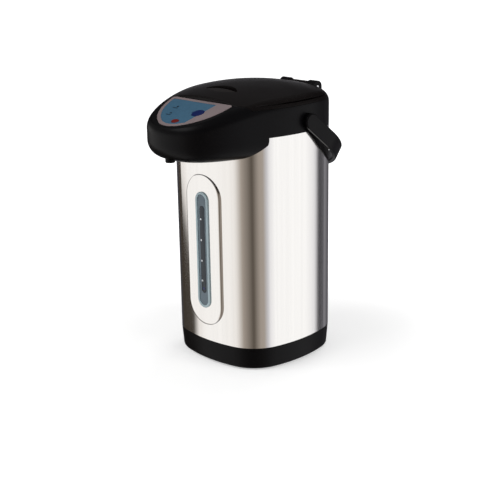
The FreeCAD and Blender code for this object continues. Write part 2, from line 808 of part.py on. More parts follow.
def head_housing():
    """Collar, nose, deck and funnel in one moulding, with the hinge ears behind."""
    wall = plastic_wall
    outer = crown(0).cut(lid_zone(moving_gap, seam_height))
    above_panel = on_panel(block((-far, far), (-far, far), (0, far)))
    outer = outer.cut(above_panel)
    down = Vector(0, -math.sin(panel_angle), math.cos(panel_angle))
    slope_face = [f for f in outer.Faces if isinstance(f.Surface, Part.Plane) and f.normalAt(0, 0).dot(down) > 0.999][0]
    ridge = [e for e in slope_face.Edges if e.BoundBox.YMin < -lid_front - 5]
    outer = outer.makeFillet(ridge_radius, ridge)
    outer = outer.fuse(nose_block(0, fit_gap))

    inner = crown(wall)
    inner = inner.cut(lid_zone(wall + moving_gap, deck_bottom))
    roof = on_panel(block((-far, far), (-far, far), (-panel_recess - panel_floor, far)))
    inner = inner.cut(roof).cut(throat(throat_wall, seal_top - 3, deck_top))
    inner = inner.fuse(nose_block(wall, fit_gap + wall))
    solid = outer.cut(inner)
    solid = solid.cut(Part.Face(head_wire(wall, deck_top)).extrude(Vector(0, 0, 30)).common(lid_zone(moving_gap, deck_top)))
    solid = solid.cut(throat(0, seal_top - 3, deck_top + 1))
    solid = solid.cut(rod(throat_top_radius, steel_top - 20, seal_top))

    tongue = plan_ring(steel_wall + fit_gap, steel_wall + fit_gap + tongue_wall, steel_top - tongue_depth, steel_top + 1.5)
    tongue = tongue.cut(block((-9.5, 9.5), (-100, -80), (0, 400)))
    solid = solid.fuse(tongue)
    for radius, boss in ((pot_screw_radius, boss_radius), (tie_rod_place, tie_boss_radius)):
        for place in diagonals(radius):
            solid = solid.fuse(rod(boss, steel_top - 1.0, deck_bottom + 0.5, place.x, place.y))
    for place in diagonals(pot_screw_radius):
        solid = solid.cut(rod(1.5 + screw_gap, 0, steel_top + 12, place.x, place.y))
    for place in diagonals(tie_rod_place):
        solid = solid.cut(rod(tie_rod_radius + screw_gap, 0, deck_bottom - 7, place.x, place.y))
    boss = rod(spout_flange + 1.5, nose_bottom, spout_seat, 0, -spout_y)
    solid = solid.fuse(boss.common(nose_block(0.1, fit_gap)))
    solid = solid.cut(rod(spout_radius + fit_gap, 0, spout_seat + 1, 0, -spout_y))

    solid = solid.cut(on_panel(panel_outline(-fit_gap, -panel_recess, far)))
    for half, place in ((dispense_half, dispense_place), (reboil_half, reboil_place)):
        solid = solid.cut(on_panel(oval(half, place, key_gap, -8, 1)))
    for place in lamp_places:
        solid = solid.cut(on_panel(rod(lamp_radius + fit_gap, -8, 1, place[0], place[1])))
    for place in panel_screw_places():
        post = rod(3.0, -board_drop, -panel_recess - 0.5, place[0], place[1])
        post = post.cut(rod(1.1, -board_drop - 1, -board_drop + 5, place[0], place[1]))
        solid = solid.fuse(on_panel(post))
    slot_low = deck_top + 2.4
    solid = solid.cut(block((-latch_half - 2, latch_half + 2), (-lid_front - moving_gap - 1.5, -lid_front), (slot_low, slot_low + 3.4)))

    for side in (-1, 1):
        solid = solid.fuse(hinge_ear(side))
        boss = cross_rod(handle_width / 2, half_width - 1.5, handle_inner_half - 0.3, handle_y, handle_z)
        hole = cross_rod(stud_radius + pin_gap, half_width - 15, handle_inner_half, handle_y, handle_z)
        if side < 0:
            boss = boss.mirror(Vector(0, 0, 0), Vector(1, 0, 0))
            hole = hole.mirror(Vector(0, 0, 0), Vector(1, 0, 0))
        solid = solid.fuse(boss).cut(hole)
    solid = solid.cut(cross_rod(knuckle_radius + moving_gap, -ear_inner, ear_inner, hinge_y, hinge_z))
    return solid.removeSplitter()


def hinge_ear(side):
    """One upright ear behind the lid, bored for the hinge pin, on a bracket that slopes into the collar."""
    left = ear_inner if side > 0 else -ear_inner - ear_width
    right = left + ear_width
    rear = half_width - plastic_wall / 2
    points = [
        Vector(left, rear - 0.5, seam_height - 16),
        Vector(left, hinge_y + ear_radius - 0.02, hinge_z - 4),
        Vector(left, hinge_y + ear_radius - 0.02, hinge_z),
        Vector(left, hinge_y - ear_radius + 0.02, hinge_z),
        Vector(left, hinge_y - ear_radius + 0.02, deck_top - 1),
        Vector(left, rear - 0.5, deck_top - 1),
    ]
    bracket = Part.Face(Part.makePolygon(points + [points[0]])).extrude(Vector(ear_width, 0, 0))
    ear = bracket.fuse(cross_rod(ear_radius, left, right, hinge_y, hinge_z))
    return ear.cut(cross_rod(hinge_pin_radius, left - 1, right + 1, hinge_y, hinge_z))


def hinge_pin():
    reach_x = ear_inner + ear_width
    return cross_rod(hinge_pin_radius, -reach_x, reach_x, hinge_y, hinge_z)


def lens(front, rear, side_gap, low, high):
    """Eye-shaped prism between two arcs, in plan."""
    half = lens_half - side_gap
    tips = (Vector(-half, -lens_middle, low), Vector(half, -lens_middle, low))
    edges = [arc(tips[0], Vector(0, -front, low), tips[1]), arc(tips[1], Vector(0, -rear, low), tips[0])]
    return Part.Face(Part.Wire(edges)).extrude(Vector(0, 0, high - low))


def lid_outer(inset):
    """The lid's outside, or its hollow, as a solid block."""
    low = lid_bottom
    solid = crown(inset).common(lid_zone(-inset, low))
    return solid


def lid_cover():
    """Domed shell with the lever's pocket, screw bosses and the hinge knuckle."""
    wall = plastic_wall
    solid = lid_outer(0)
    tops = []
    for edge in solid.Edges:
        middle = edge.valueAt((edge.FirstParameter + edge.LastParameter) / 2)
        if edge.BoundBox.ZMin > lid_bottom + 3 and middle.y < -lid_front + 14 and not curved_side(edge):
            tops.append(edge)
    solid = solid.makeFillet(lid_edge_radius, tops)
    notch_half = ear_inner + ear_width + moving_gap
    notch_y = hinge_y - ear_radius - 1.2
    notch = block((-notch_half, notch_half), (notch_y, far), (0, 400))
    hollow = lid_outer(wall).cut(block((-notch_half - wall, notch_half + wall), (notch_y - wall, far), (0, 400)))
    solid = solid.cut(notch)
    pocket_cup = lens(lens_front + pocket_wall, lens_rear - pocket_wall, -3.0, pocket_floor - pocket_wall, 400)
    bosses = [rod(4.0, lid_bottom, 400, x, y) for x, y in lid_screw_places()]
    bosses.append(rod(vent_radius + 2.0, vent_seat() - 2.0, 400, 0, vent_y))
    hollow = hollow.cut(pocket_cup)
    for boss in bosses:
        hollow = hollow.cut(boss)
    solid = solid.cut(hollow).cut(rim_groove())
    solid = solid.cut(lens(lens_front, lens_rear, 0, pocket_floor, 400))
    solid = solid.cut(block((-5.6, 5.6), (-60.6, -53.6), (pocket_floor - 5, pocket_floor + 1)))
    pin_z = lever_pivot_z()
    solid = solid.cut(cross_rod(lever_pin_radius, -17, 17, -lever_pivot_y, pin_z))
    tongue_low = deck_top + 0.4 + underplate_wall
    solid = solid.cut(block((-latch_half - 0.3, latch_half + 0.3), (-lid_front - 1, -lid_front + wall + 1), (0, tongue_low + latch_thickness + 0.6)))
    for x, y in lid_screw_places():
        solid = solid.cut(rod(1.5 + screw_gap, 0, lid_bottom + 7, x, y))
    solid = solid.cut(rod(vent_radius + fit_gap, vent_seat(), 400, 0, vent_y))
    solid = solid.cut(rod(vent_radius - 1.5, lid_bottom, 400, 0, vent_y))
    web = block((-ear_inner + moving_gap, ear_inner - moving_gap), (notch_y - wall, hinge_y), (hinge_z - 4.5, hinge_z + 4.5))
    knuckle = cross_rod(knuckle_radius, -ear_inner + moving_gap, ear_inner - moving_gap, hinge_y, hinge_z)
    solid = solid.fuse(web).fuse(knuckle)
    return solid.cut(cross_rod(hinge_pin_radius + pin_gap, -ear_inner, ear_inner, hinge_y, hinge_z)).removeSplitter()


def vent_seat():
    """Height of the ledge that carries the steam vent, under the dome's lowest rim around it."""
    return dome_height(0, vent_y + vent_radius) - 2.2


def rim_groove():
    """Fine groove round the lid, under the rounded rim."""
    low = lid_groove_height - lid_groove_width / 2
    around = Part.Face(head_wire(-3.0, low)).extrude(Vector(0, 0, lid_groove_width))
    around = around.cut(Part.Face(head_wire(lid_groove_inset, low - 1)).extrude(Vector(0, 0, lid_groove_width + 2)))
    return around.common(lid_zone(2.0, low - 2))


def dome_height(x, y):
    return lid_top - dome_radius + math.sqrt(dome_radius ** 2 - x ** 2 - y ** 2)


def curved_side(edge):
    """True for the edge chain of the rounded shoulder, which needs no further rounding."""
    return edge.BoundBox.YLength > 40


def lid_screw_places():
    return [(place.x, place.y) for place in diagonals(lid_screw_radius)]


def lever_pivot_z():
    return dome_height(0, lever_pivot_y) - lever_drop - lever_barrel_radius


def steam_vent():
    """Slotted round insert near the back of the lid."""
    top = dome_radius - 0.2
    solid = rod(vent_radius, vent_seat(), 400, 0, vent_y)
    solid = solid.common(Part.makeSphere(top, Vector(0, 0, lid_top - dome_radius)))
    for k in (-1, 0, 1):
        solid = solid.cut(block((-4.5, 4.5), (vent_y + 3.6 * k - 0.8, vent_y + 3.6 * k + 0.8), (300, 400)))
    return solid


def lid_underplate():
    """Plate that closes the lid from below, with the plug that reaches down the funnel."""
    low = lid_bottom - underplate_wall
    plate = Part.Face(head_wire(plastic_wall + moving_gap, low)).extrude(Vector(0, 0, underplate_wall))
    plate = plate.common(lid_zone(-1.0, low - 1))
    notch_half = ear_inner + ear_width + moving_gap
    plate = plate.cut(block((-notch_half, notch_half), (hinge_y - ear_radius - 1.2, far), (0, 400)))
    floor = plug_bottom + 2.0
    outside = throat(-1.0, floor, lid_bottom)
    inside = throat(-1.0 - underplate_wall, floor + underplate_wall, lid_bottom + 1)
    solid = plate.fuse(outside).cut(inside)
    cover_disc = rod(throat_top_radius - 2.0, low, lid_bottom).cut(rod(vent_radius, low - 1, lid_bottom + 1, 0, vent_y))
    solid = solid.fuse(cover_disc)
    for x, y in lid_screw_places():
        solid = solid.cut(rod(1.5 + screw_gap, low - 1, lid_bottom + 1, x, y))
        solid = solid.cut(rod(3.0, low - 1, low + lid_screw_head, x, y))
    for x in (-latch_half - 2.3, latch_half + 0.3):
        solid = solid.fuse(block((x, x + 2), (-82, -56), (lid_bottom, lid_bottom + 3)))
    return solid.cut(rod(3.0, floor - 1, floor + 5)).removeSplitter()


def inner_lid_plate():
    """Steel disc on the end of the plug, with a small steam hole in the middle."""
    solid = rod(gasket_radius - 6, plug_bottom + 1.0, plug_bottom + 2.0)
    return solid.cut(rod(3.0, plug_bottom, plug_bottom + 5))


def lid_gasket():
    slope = (throat_top_radius - throat_radius) / (deck_top - seal_top)
    height = plug_bottom - seal_top
    outer = throat_radius + height * slope - moving_gap
    profile = [
        (gasket_radius - 6, plug_bottom), (outer - 1.0, plug_bottom), (outer, plug_bottom + 1.0),
        (outer - 0.6, plug_bottom + 2.0), (gasket_radius - 6, plug_bottom + 2.0),
    ]
    return turned(profile)


def lid_screws():
    low = lid_bottom - underplate_wall
    high = lid_bottom + 6
    places = [Vector(x, y, 0) for x, y in lid_screw_places()]
    return Part.makeCompound([screw(1.5, 2.8, lid_screw_head, low, high, place) for place in places])


def lever_pin():
    return cross_rod(lever_pin_radius, -17, 17, -lever_pivot_y, lever_pivot_z())


def lid_lever():
    """Finger lever: a lens-shaped flap with a barrel at its front and a finger that moves the latch."""
    plate = lens(lens_front - lever_front_gap, lever_rear, moving_gap * 2, pocket_floor, 400)
    plate = plate.common(dome(lever_drop)).cut(dome(lever_drop + lever_thickness))
    z = lever_pivot_z()
    barrel = cross_rod(lever_barrel_radius, -11, 11, -lever_pivot_y, z)
    finger = block((-5, 5), (-60, -57), (lid_bottom + 3.3, z - 1.0))
    solid = joined([plate, barrel, finger])
    return solid.cut(cross_rod(lever_pin_radius + pin_gap, -20, 20, -lever_pivot_y, z))


def lid_latch():
    """Sliding tongue under the lid, with a yoke round the lever's finger."""
    low = lid_bottom + 0.3
    plate = block((-latch_half, latch_half), (-lid_front, -52), (low, low + latch_thickness))
    yoke = block((-8, 8), (-62.5, -53.5), (low, pocket_floor - pocket_wall - 0.5))
    slot = block((-5.5, 5.5), (-61.0, -55.7), (low + 0.01, 400))
    return plate.fuse(yoke).cut(slot).removeSplitter()


def panel_screw_places():
    return ((-38.0, -12.0), (38.0, -12.0))


def overlay_wire(grow, low, high):
    """The tinted field inside the bezel: straight on its right, following the oval elsewhere."""
    field = panel_outline(5.0 - grow, low, high)
    slant = Part.makePolygon([
        Vector(33 + grow, 10, low - 1), Vector(19 + grow, -80, low - 1),
        Vector(90, -80, low - 1), Vector(90, 10, low - 1), Vector(33 + grow, 10, low - 1),
    ])
    return field.cut(Part.Face(slant).extrude(Vector(0, 0, high - low + 2)))


def panel_bezel():
    solid = panel_outline(0, -panel_recess, bezel_proud)
    top = [e for e in solid.Edges if e.BoundBox.ZMin > bezel_proud - 0.01]
    solid = solid.makeChamfer(0.4, top)
    solid = solid.cut(overlay_wire(0, -panel_recess - 1, 2))
    for half, place in ((dispense_half, dispense_place), (reboil_half, reboil_place)):
        solid = solid.cut(oval(half, place, key_gap, -5, 2))
    return on_panel(solid)


def panel_overlay():
    solid = overlay_wire(-fit_gap, -panel_recess, bezel_proud - overlay_drop)
    for half, place in ((dispense_half, dispense_place), (reboil_half, reboil_place)):
        solid = solid.cut(oval(half, place, key_gap, -5, 2))
    for place in lamp_places:
        solid = solid.cut(rod(lamp_radius + 0.05, -5, 2, place[0], place[1]))
    return on_panel(solid)


def key(half, place):
    """A key cap with a collar under the nose's roof that keeps it in, and a plunger over its switch."""
    underside = -panel_recess - panel_floor
    cap = oval(half, place, 0, underside - 1.5, key_proud)
    top = [e for e in cap.Edges if e.BoundBox.ZMin > key_proud - 0.01]
    cap = cap.makeFillet(0.7, top)
    collar = oval(half, place, key_gap + 1.0, underside - 1.5, underside - 0.3)
    plunger = rod(1.8, -board_drop + switch_height + key_travel + 0.1, underside - 1.0, place[0], place[1])
    return on_panel(cap.fuse(collar).fuse(plunger).removeSplitter())


def panel_board():
    """Small board under the panel with one switch below each key."""
    top = -board_drop
    solid = block((-44, 44), (-42, -6), (top - board_thickness, top))
    solid = solid.fuse(block((-6, 14), (-62, -41), (top - board_thickness, top)))
    for place in (dispense_place, reboil_place):
        solid = solid.fuse(block((place[0] - 3, place[0] + 3), (place[1] - 3, place[1] + 3), (top - 0.5, top + switch_height)))
    for place in panel_screw_places():
        solid = solid.cut(rod(1.4, top - 5, top + 1, place[0], place[1]))
    return on_panel(solid.removeSplitter())


def panel_screws():
    low = -board_drop - board_thickness
    solids = []
    for place in panel_screw_places():
        solids.append(screw(1.1, 2.4, 1.5, low - 1.5, -board_drop + 4, Vector(place[0], place[1], 0)))
    return on_panel(Part.makeCompound(solids))


def indicator_lamps():
    top = bezel_proud - overlay_drop
    return on_panel(Part.makeCompound([rod(lamp_radius, -board_drop, top, x, y) for x, y in lamp_places]))


def handle_bail(inset, half_width_z):
    """The U of the handle in its own plane, filled: arms along +Y, pivot axis on X."""
    half = handle_inner_half + handle_thickness - inset
    bow = handle_bow + handle_thickness - inset
    head = oval_prism(half, bow, handle_corner - inset, -half_width_z, half_width_z)
    head.translate(Vector(0, handle_straight, 0))
    head = head.common(block((-far, far), (handle_straight, far), (-far, far)))
    return head.fuse(block((-half, half), (0, handle_straight), (-half_width_z, half_width_z))).removeSplitter()


def to_handle(shape):
    place = Placement(Vector(0, handle_y, handle_z), Rotation(Vector(1, 0, 0), handle_rest))
    shape.Placement = place.multiply(shape.Placement)
    return shape


def carry_handle():
    """Moulded bail with round ends and a stud at each end that turns in the collar."""
    half = handle_width / 2
    outer = handle_inner_half + handle_thickness
    loop = handle_bail(0, half).cut(handle_bail(handle_thickness, half + 1))
    loop = loop.cut(block((-far, far), (-far, 0), (-far, far)))
    for side in (-1, 1):
        left = handle_inner_half if side > 0 else -outer
        end = Part.makeCylinder(half, handle_thickness, Vector(left, 0, 0), Vector(1, 0, 0))
        loop = loop.fuse(end)
    loop = loop.removeSplitter()
    rims = [e for e in loop.Edges if e.Length > 30]
    loop = loop.makeFillet(handle_edge, rims)
    clip_low, clip_high = clip_span()
    for side in (-1, 1):
        stud = Part.makeCylinder(stud_radius, handle_inner_half - stud_inner + 1, Vector(stud_inner, 0, 0), Vector(1, 0, 0))
        groove = Part.makeCylinder(stud_radius + 1, clip_high - clip_low, Vector(clip_low, 0, 0), Vector(1, 0, 0))
        core = Part.makeCylinder(stud_radius - clip_groove, far, Vector(0, 0, 0), Vector(1, 0, 0))
        stud = stud.cut(groove.cut(core))
        if side < 0:
            stud = stud.mirror(Vector(0, 0, 0), Vector(1, 0, 0))
        loop = loop.fuse(stud)
    return to_handle(loop.removeSplitter())


def clip_span():
    """Where the retaining clip sits on the stud, just inside the collar's wall."""
    radius = side_radius - plastic_wall
    wall_inside = math.sqrt(radius ** 2 - (handle_y + clip_radius) ** 2) - reach
    high = wall_inside - 0.3
    return high - clip_thickness, high


def handle_clips():
    low, high = clip_span()
    solids = []
    for left in (low, -high):
        disc = Part.makeCylinder(clip_radius, high - low, Vector(left, 0, 0), Vector(1, 0, 0))
        hole = Part.makeCylinder(stud_radius - clip_groove, far, Vector(-far / 2, 0, 0), Vector(1, 0, 0))
        solids.append(disc.cut(hole))
    return to_handle(Part.makeCompound(solids))


sub_parts = {
    "foot_ring": foot_ring,
    "bottom_cover": bottom_cover,
    "bottom_screws": bottom_screws,
    "base_skirt": base_skirt,
    "tie_rods": tie_rods,
    "outer_shell": steel_casing,
    "gauge_bezel": gauge_bezel,
    "gauge_window": gauge_window,
    "gauge_tube": gauge_tube,
    "gauge_float": gauge_float,
    "inner_pot": inner_pot,
    "pot_screws": pot_screws,
    "pot_rim_seal": pot_rim_seal,
    "pot_strainer": pot_strainer,
    "heater_plate": heater_plate,
    "thermostat": thermostat,
    "pump_housing": pump_housing,
    "pump_motor": pump_motor,
    "pump_impeller": pump_impeller,
    "pump_inlet_hose": pump_inlet_hose,
    "pump_outlet_hose": pump_outlet_hose,
    "spout_hose": spout_hose,
    "spout_nozzle": spout_nozzle,
    "power_board": power_board,
    "board_screws": board_screws,
    "inlet_socket": inlet_socket,
    "inlet_pins": lambda: Part.makeCompound(inlet_pin_boxes()),
    "head_housing": head_housing,
    "hinge_pin": hinge_pin,
    "panel_bezel": panel_bezel,
    "panel_overlay": panel_overlay,
    "panel_board": panel_board,
    "panel_screws": panel_screws,
    "indicator_lamps": indicator_lamps,
    "dispense_key": lambda: key(dispense_half, dispense_place),
    "reboil_key": lambda: key(reboil_half, reboil_place),
    "lid_cover": lid_cover,
    "lid_underplate": lid_underplate,
    "inner_lid_plate": inner_lid_plate,
    "lid_gasket": lid_gasket,
    "lid_screws": lid_screws,
    "steam_vent": steam_vent,
    "lever_pin": lever_pin,
    "lid_lever": lid_lever,
    "lid_latch": lid_latch,
    "carry_handle": carry_handle,
    "handle_clips": handle_clips,
}


def main():
    os.makedirs("parts", exist_ok=True)
    for name, make in sub_parts.items():
        save(name, make())


if __name__ == "__main__":
    main()
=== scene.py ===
import json
import math

import bmesh
import bpy
from mathutils import Matrix, Vector


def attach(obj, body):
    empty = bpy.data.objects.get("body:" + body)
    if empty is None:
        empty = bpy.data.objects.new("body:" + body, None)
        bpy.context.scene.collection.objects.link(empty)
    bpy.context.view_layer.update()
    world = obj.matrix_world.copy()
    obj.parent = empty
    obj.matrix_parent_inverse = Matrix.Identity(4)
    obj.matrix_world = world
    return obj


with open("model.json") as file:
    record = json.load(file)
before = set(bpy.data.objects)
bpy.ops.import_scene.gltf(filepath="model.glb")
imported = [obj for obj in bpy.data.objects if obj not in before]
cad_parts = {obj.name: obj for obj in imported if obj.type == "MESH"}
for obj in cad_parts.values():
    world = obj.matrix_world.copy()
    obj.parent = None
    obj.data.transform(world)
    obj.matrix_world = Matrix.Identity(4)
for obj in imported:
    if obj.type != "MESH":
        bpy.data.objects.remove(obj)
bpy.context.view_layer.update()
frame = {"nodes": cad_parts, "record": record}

bl_info = {
    "name": "Thermo pot dressing",
    "version": (1, 0, 0),
    "blender": (4, 5, 0),
    "location": "View3D > Sidebar > Thermo pot",
    "description": "Finishes, gauge lens, printed marks and studio for an electric thermo pot",
    "category": "Object",
}

MM = 0.001
RIGHT = Vector((1.0, 0.0, 0.0))
UP = Vector((0.0, 0.0, 1.0))

# The panel's own plane, and the places of the lamps on it in millimetres
PANEL_TOP = Vector((0.0, -0.088, 0.3604))
PANEL_SLOPE = math.radians(19.2)
PANEL_TURN = Matrix.Rotation(PANEL_SLOPE, 3, "X")
LAMP_PLACES = ((-25.5, -22.0), (-21.0, -39.4))

# A printed line: where it lies from its lamp and over the panel's plane in millimetres, its half
# length and height in metres, and how much of its width the bevelled top keeps
LINE_SHIFT = (-1.0, -4.2)
LINE_LIFT = 0.2
LINE_HALF = 0.0046
LINE_HEIGHT = 0.00005
LINE_TOP = 0.6

# The gauge's lens strip. Each step of its rounded rim is a share of LENS_RIM: how far behind the
# front, and how far in from the edge
LENS_BACK = -0.09502
LENS_THICKNESS = 0.00055
LENS_HALF = 0.0047
LENS_RIM = 0.0005
LENS_ROUNDING = ((0.6, 0.0), (0.15, 0.45), (0.0, 1.0))
LENS_ENDS = (0.1001, 0.2219)
LENS_STEPS = 16

# The marks on the lens
MARK_FRONT = LENS_BACK - LENS_THICKNESS - 0.00001
MARK_X = -0.0029
MARK_HEIGHTS = (0.117, 0.145, 0.174, 0.203)
SPOT_HEIGHT = 0.1062
SPOT_FLATTENING = 0.7
MARK_RINGS = 4
MARK_SIDES = 28

# Noise textures stay mostly between these values, and pointiness over these is an edge
NOISE_SPAN = (0.3, 0.7)
EDGE_SPAN = (0.54, 0.62)

# Moulded plastic and rubber
GRAIN_SCALE = 900.0
GRAIN_DEPTH = 0.00008
MOTTLE_SHADES = (0.9, 1.12)
WORN_SHADE = 2.0
WORN_AMOUNT = 0.25
COAT_ROUGHNESS = 0.08

# Brushed and drawn metal: how finely the scratches are cut along X, Y and Z
UPRIGHT_LINES = (1400.0, 1400.0, 12.0)
DRAWN_RINGS = (60.0, 60.0, 900.0)
EVEN_SCRATCHES = (500.0, 500.0, 500.0)
SCRATCH_DEPTH = 0.00004
STREAK_SHADES = (0.9, 1.0)
STREAK_SCALE = 0.13

# Clear plastic and glass
CLEAR_SCALE = 300.0
CLEAR_DEPTH = 0.00005
CLEAR_GRAIN = 0.05
CLEAR_SHADES = (0.95, 1.03)
CLEAR_ROUGHNESS = (0.08, 0.14)
CLEAR_BENDING = 1.46

# Sockets of a colour mix
MIX_FACTOR = 0
MIX_FIRST = 6
MIX_SECOND = 7
MIX_COLOUR = 2

# The floor, and how its glow towards the camera grows with the distance from the pot
FLOOR_HALF = 6.0
PAPER_SHADES = (0.8, 0.82)
PAPER_SCALE = 40.0
GLOW_DISTANCE = (0.16, 0.5)
GLOW_LEVEL = (0.44, 0.9)

# The light tent's size, and its light below and above two heights
TENT_RADIUS = 0.9
TENT_HEIGHT = 3.4
TENT_MIDDLE = -0.7
TENT_SIDES = 96
DIM_HEIGHTS = (0.38, 0.5)
DIM_LEVEL = (1.06, 0.2)

# The tent's cloths, and which one hangs in each direction in degrees from +X
BLACK = 0.045
DARK = 0.1
DIM = 0.22
GREY = 0.35
SILVER = 0.55
PALE = 0.82
CREAM = 0.93
WHITE = 0.97
TENT_CLOTHS = (
    (-180, BLACK), (-164, BLACK), (-158, PALE), (-148, CREAM), (-115, CREAM), (-92, PALE),
    (-74, GREY), (-48, DARK), (-45, DARK), (-29, GREY), (-19, GREY), (-9, SILVER), (-1, PALE),
    (12, WHITE), (46, WHITE), (56, PALE), (60, SILVER), (62, BLACK), (66, BLACK), (74, DIM),
    (94, DARK), (112, DARK), (128, SILVER), (152, SILVER), (163, BLACK),
)
# How much green and blue the middle greys lose, and the direction where warm turns cool
WARM = (0.19, 0.36)
COOL = (0.03, -0.09)
COOL_FROM = -15

# The slant of the black cloth that the steel's left edge mirrors: radians for each metre of
# height, the height where it is plumb, how far above and below it goes on, and the directions in
# radians between which it dies away
LEAN = 1.0
LEAN_FROM = 0.03
LEAN_REACH = 0.26
LEAN_SHARE = (-2.3, -1.9)

# Strength of the world to the eye, as soft light and in gloss
WORLD_WHITE = 1.0
WORLD_FILL = 0.42
WORLD_GLOSS = 0.2

# Square lamps: name, place, size, power, and whether gloss shows them
POT_MIDDLE = Vector((0.0, 0.0, 0.2))
SOFT_LIGHTS = (
    ("key", (-0.5, -1.3, 1.5), 1.2, 13.0, True),
    ("side", (1.7, 0.3, 1.1), 1.2, 11.0, False),
    ("back", (-0.4, 1.6, 1.6), 1.0, 8.0, False),
)

# Where the photograph was taken from
CAMERA_PLACE = Vector((1.06434, -1.04727, 0.60088))
CAMERA_RIGHT = Vector((0.70210, 0.71191, -0.01547))
CAMERA_UP = Vector((-0.20005, 0.21805, 0.95522))
CAMERA_AHEAD = Vector((-0.68340, 0.66756, -0.29550))
CAMERA_LENS = 80.23
CAMERA_SENSOR = 36.0
CAMERA_NEAR = 0.05


def linear(level):
    """A display level from 0 to 255 as scene-linear light."""
    value = level / 255
    return value / 12.92 if value <= 0.04045 else ((value + 0.055) / 1.055) ** 2.4


def tint(red, green, blue):
    """A colour from three display levels."""
    return (linear(red), linear(green), linear(blue), 1.0)


def shade(colour, factor):
    """A colour made darker or lighter."""
    return (colour[0] * factor, colour[1] * factor, colour[2] * factor, 1.0)


def grey(level):
    """A neutral grey from a scene-linear level."""
    return (level, level, level, 1.0)


def cloth(level, degrees):
    """Grey cloth whose middle tones lean warm in front of the pot and cool behind it."""
    green, blue = WARM if degrees < COOL_FROM else COOL
    bend = level * (1 - level)
    return (level, level - green * bend, level - blue * bend, 1.0)


def colour_setting(name, description, default):
    """A colour in the sidebar."""
    return bpy.props.FloatVectorProperty(
        name=name, description=description, default=default, size=4, subtype="COLOR")


class PotSizes(bpy.types.PropertyGroup):
    mark_radius: bpy.props.FloatProperty(
        name="Level mark radius", description="Radius of the printed dots on the level gauge",
        default=0.0014, unit="LENGTH")
    spot_radius: bpy.props.FloatProperty(
        name="Low mark radius", description="Half the width of the dark spot at the gauge's bottom",
        default=0.0028, unit="LENGTH")
    mark_height: bpy.props.FloatProperty(
        name="Level mark height", description="How far the printed dots stand off the lens",
        default=0.00012, unit="LENGTH")
    print_width: bpy.props.FloatProperty(
        name="Printed line width", description="Width of the printed lines on the panel",
        default=0.0016, unit="LENGTH")


class PotColours(bpy.types.PropertyGroup):
    plastic: colour_setting("Black plastic", "Moulded head, base and handle", tint(11, 10, 12))
    lid_plastic: colour_setting("Lid plastic", "Moulded lid, a little browner", tint(17, 13, 13))
    steel: colour_setting("Steel", "Brushed casing", tint(251, 249, 246))
    film_blue: colour_setting("Panel film", "Printed field of the panel", tint(62, 98, 122))
    film_silver: colour_setting("Panel frame", "Satin frame of the panel", tint(134, 120, 121))
    dispense_blue: colour_setting("Dispense key", "Large key", tint(6, 28, 84))
    reboil_red: colour_setting("Reboil key", "Small key", tint(112, 26, 20))


def bare_tree(holder):
    """The emptied node tree of a new material or world."""
    holder.use_nodes = True
    holder.node_tree.nodes.clear()
    return holder.node_tree


def add(tree, kind, **settings):
    """A node with some of its attributes set."""
    node = tree.nodes.new("ShaderNode" + kind)
    for name, value in settings.items():
        setattr(node, name, value)
    return node


def map_range(tree, source, span, result=(0.0, 1.0), **settings):
    """Map one range of values to another."""
    node = add(tree, "MapRange", **settings)
    for label, value in zip(("From Min", "From Max", "To Min", "To Max"), (*span, *result)):
        node.inputs[label].default_value = value
    tree.links.new(source, node.inputs["Value"])
    return node.outputs["Result"]


def colour_mix(tree, factor, first, second):
    """Mix a colour, or what a socket gives, with a second colour by a 0 to 1 value."""
    mix = add(tree, "Mix", data_type="RGBA")
    if isinstance(first, bpy.types.NodeSocket):
        tree.links.new(first, mix.inputs[MIX_FIRST])
    else:
        mix.inputs[MIX_FIRST].default_value = first
    mix.inputs[MIX_SECOND].default_value = second
    tree.links.new(factor, mix.inputs[MIX_FACTOR])
    return mix.outputs[MIX_COLOUR]


def bump(tree, source, shader, strength, distance):
    """Raise a shader's surface by a height."""
    node = add(tree, "Bump")
    node.inputs["Strength"].default_value = strength
    node.inputs["Distance"].default_value = distance
    tree.links.new(source, node.inputs["Height"])
    tree.links.new(node.outputs["Normal"], shader.inputs["Normal"])


def new_group(name, inputs, outputs):
    """An empty shader node group with named sockets, and its two end nodes."""
    group = bpy.data.node_groups.new(name, "ShaderNodeTree")
    for label, kind, value in inputs:
        socket = group.interface.new_socket(name=label, in_out="INPUT", socket_type=kind)
        socket.default_value = value
    for label, kind in outputs:
        group.interface.new_socket(name=label, in_out="OUTPUT", socket_type=kind)
    return group, group.nodes.new("NodeGroupInput"), group.nodes.new("NodeGroupOutput")


def use_group(tree, name, **values):
    """A shared node group with some of its inputs set."""
    node = add(tree, "Group", node_tree=bpy.data.node_groups[name])
    for label, value in values.items():
        node.inputs[label].default_value = value
    return node


def grain_group():
    """Fine moulded texture: a height, and a mottle between 0 and 1."""
    group, start, end = new_group("MouldedGrain", [
        ("Scale", "NodeSocketFloat", GRAIN_SCALE),
        ("Mottle Scale", "NodeSocketFloat", 30.0),
    ], [("Height", "NodeSocketFloat"), ("Mottle", "NodeSocketFloat")])
    place = add(group, "TexCoord")
    for scale, result, detail in (("Scale", "Height", 3.0), ("Mottle Scale", "Mottle", 2.0)):
        noise = add(group, "TexNoise")
        noise.inputs["Detail"].default_value = detail
        group.links.new(place.outputs["Object"], noise.inputs["Vector"])
        group.links.new(start.outputs[scale], noise.inputs["Scale"])
        group.links.new(noise.outputs["Fac"], end.inputs[result])


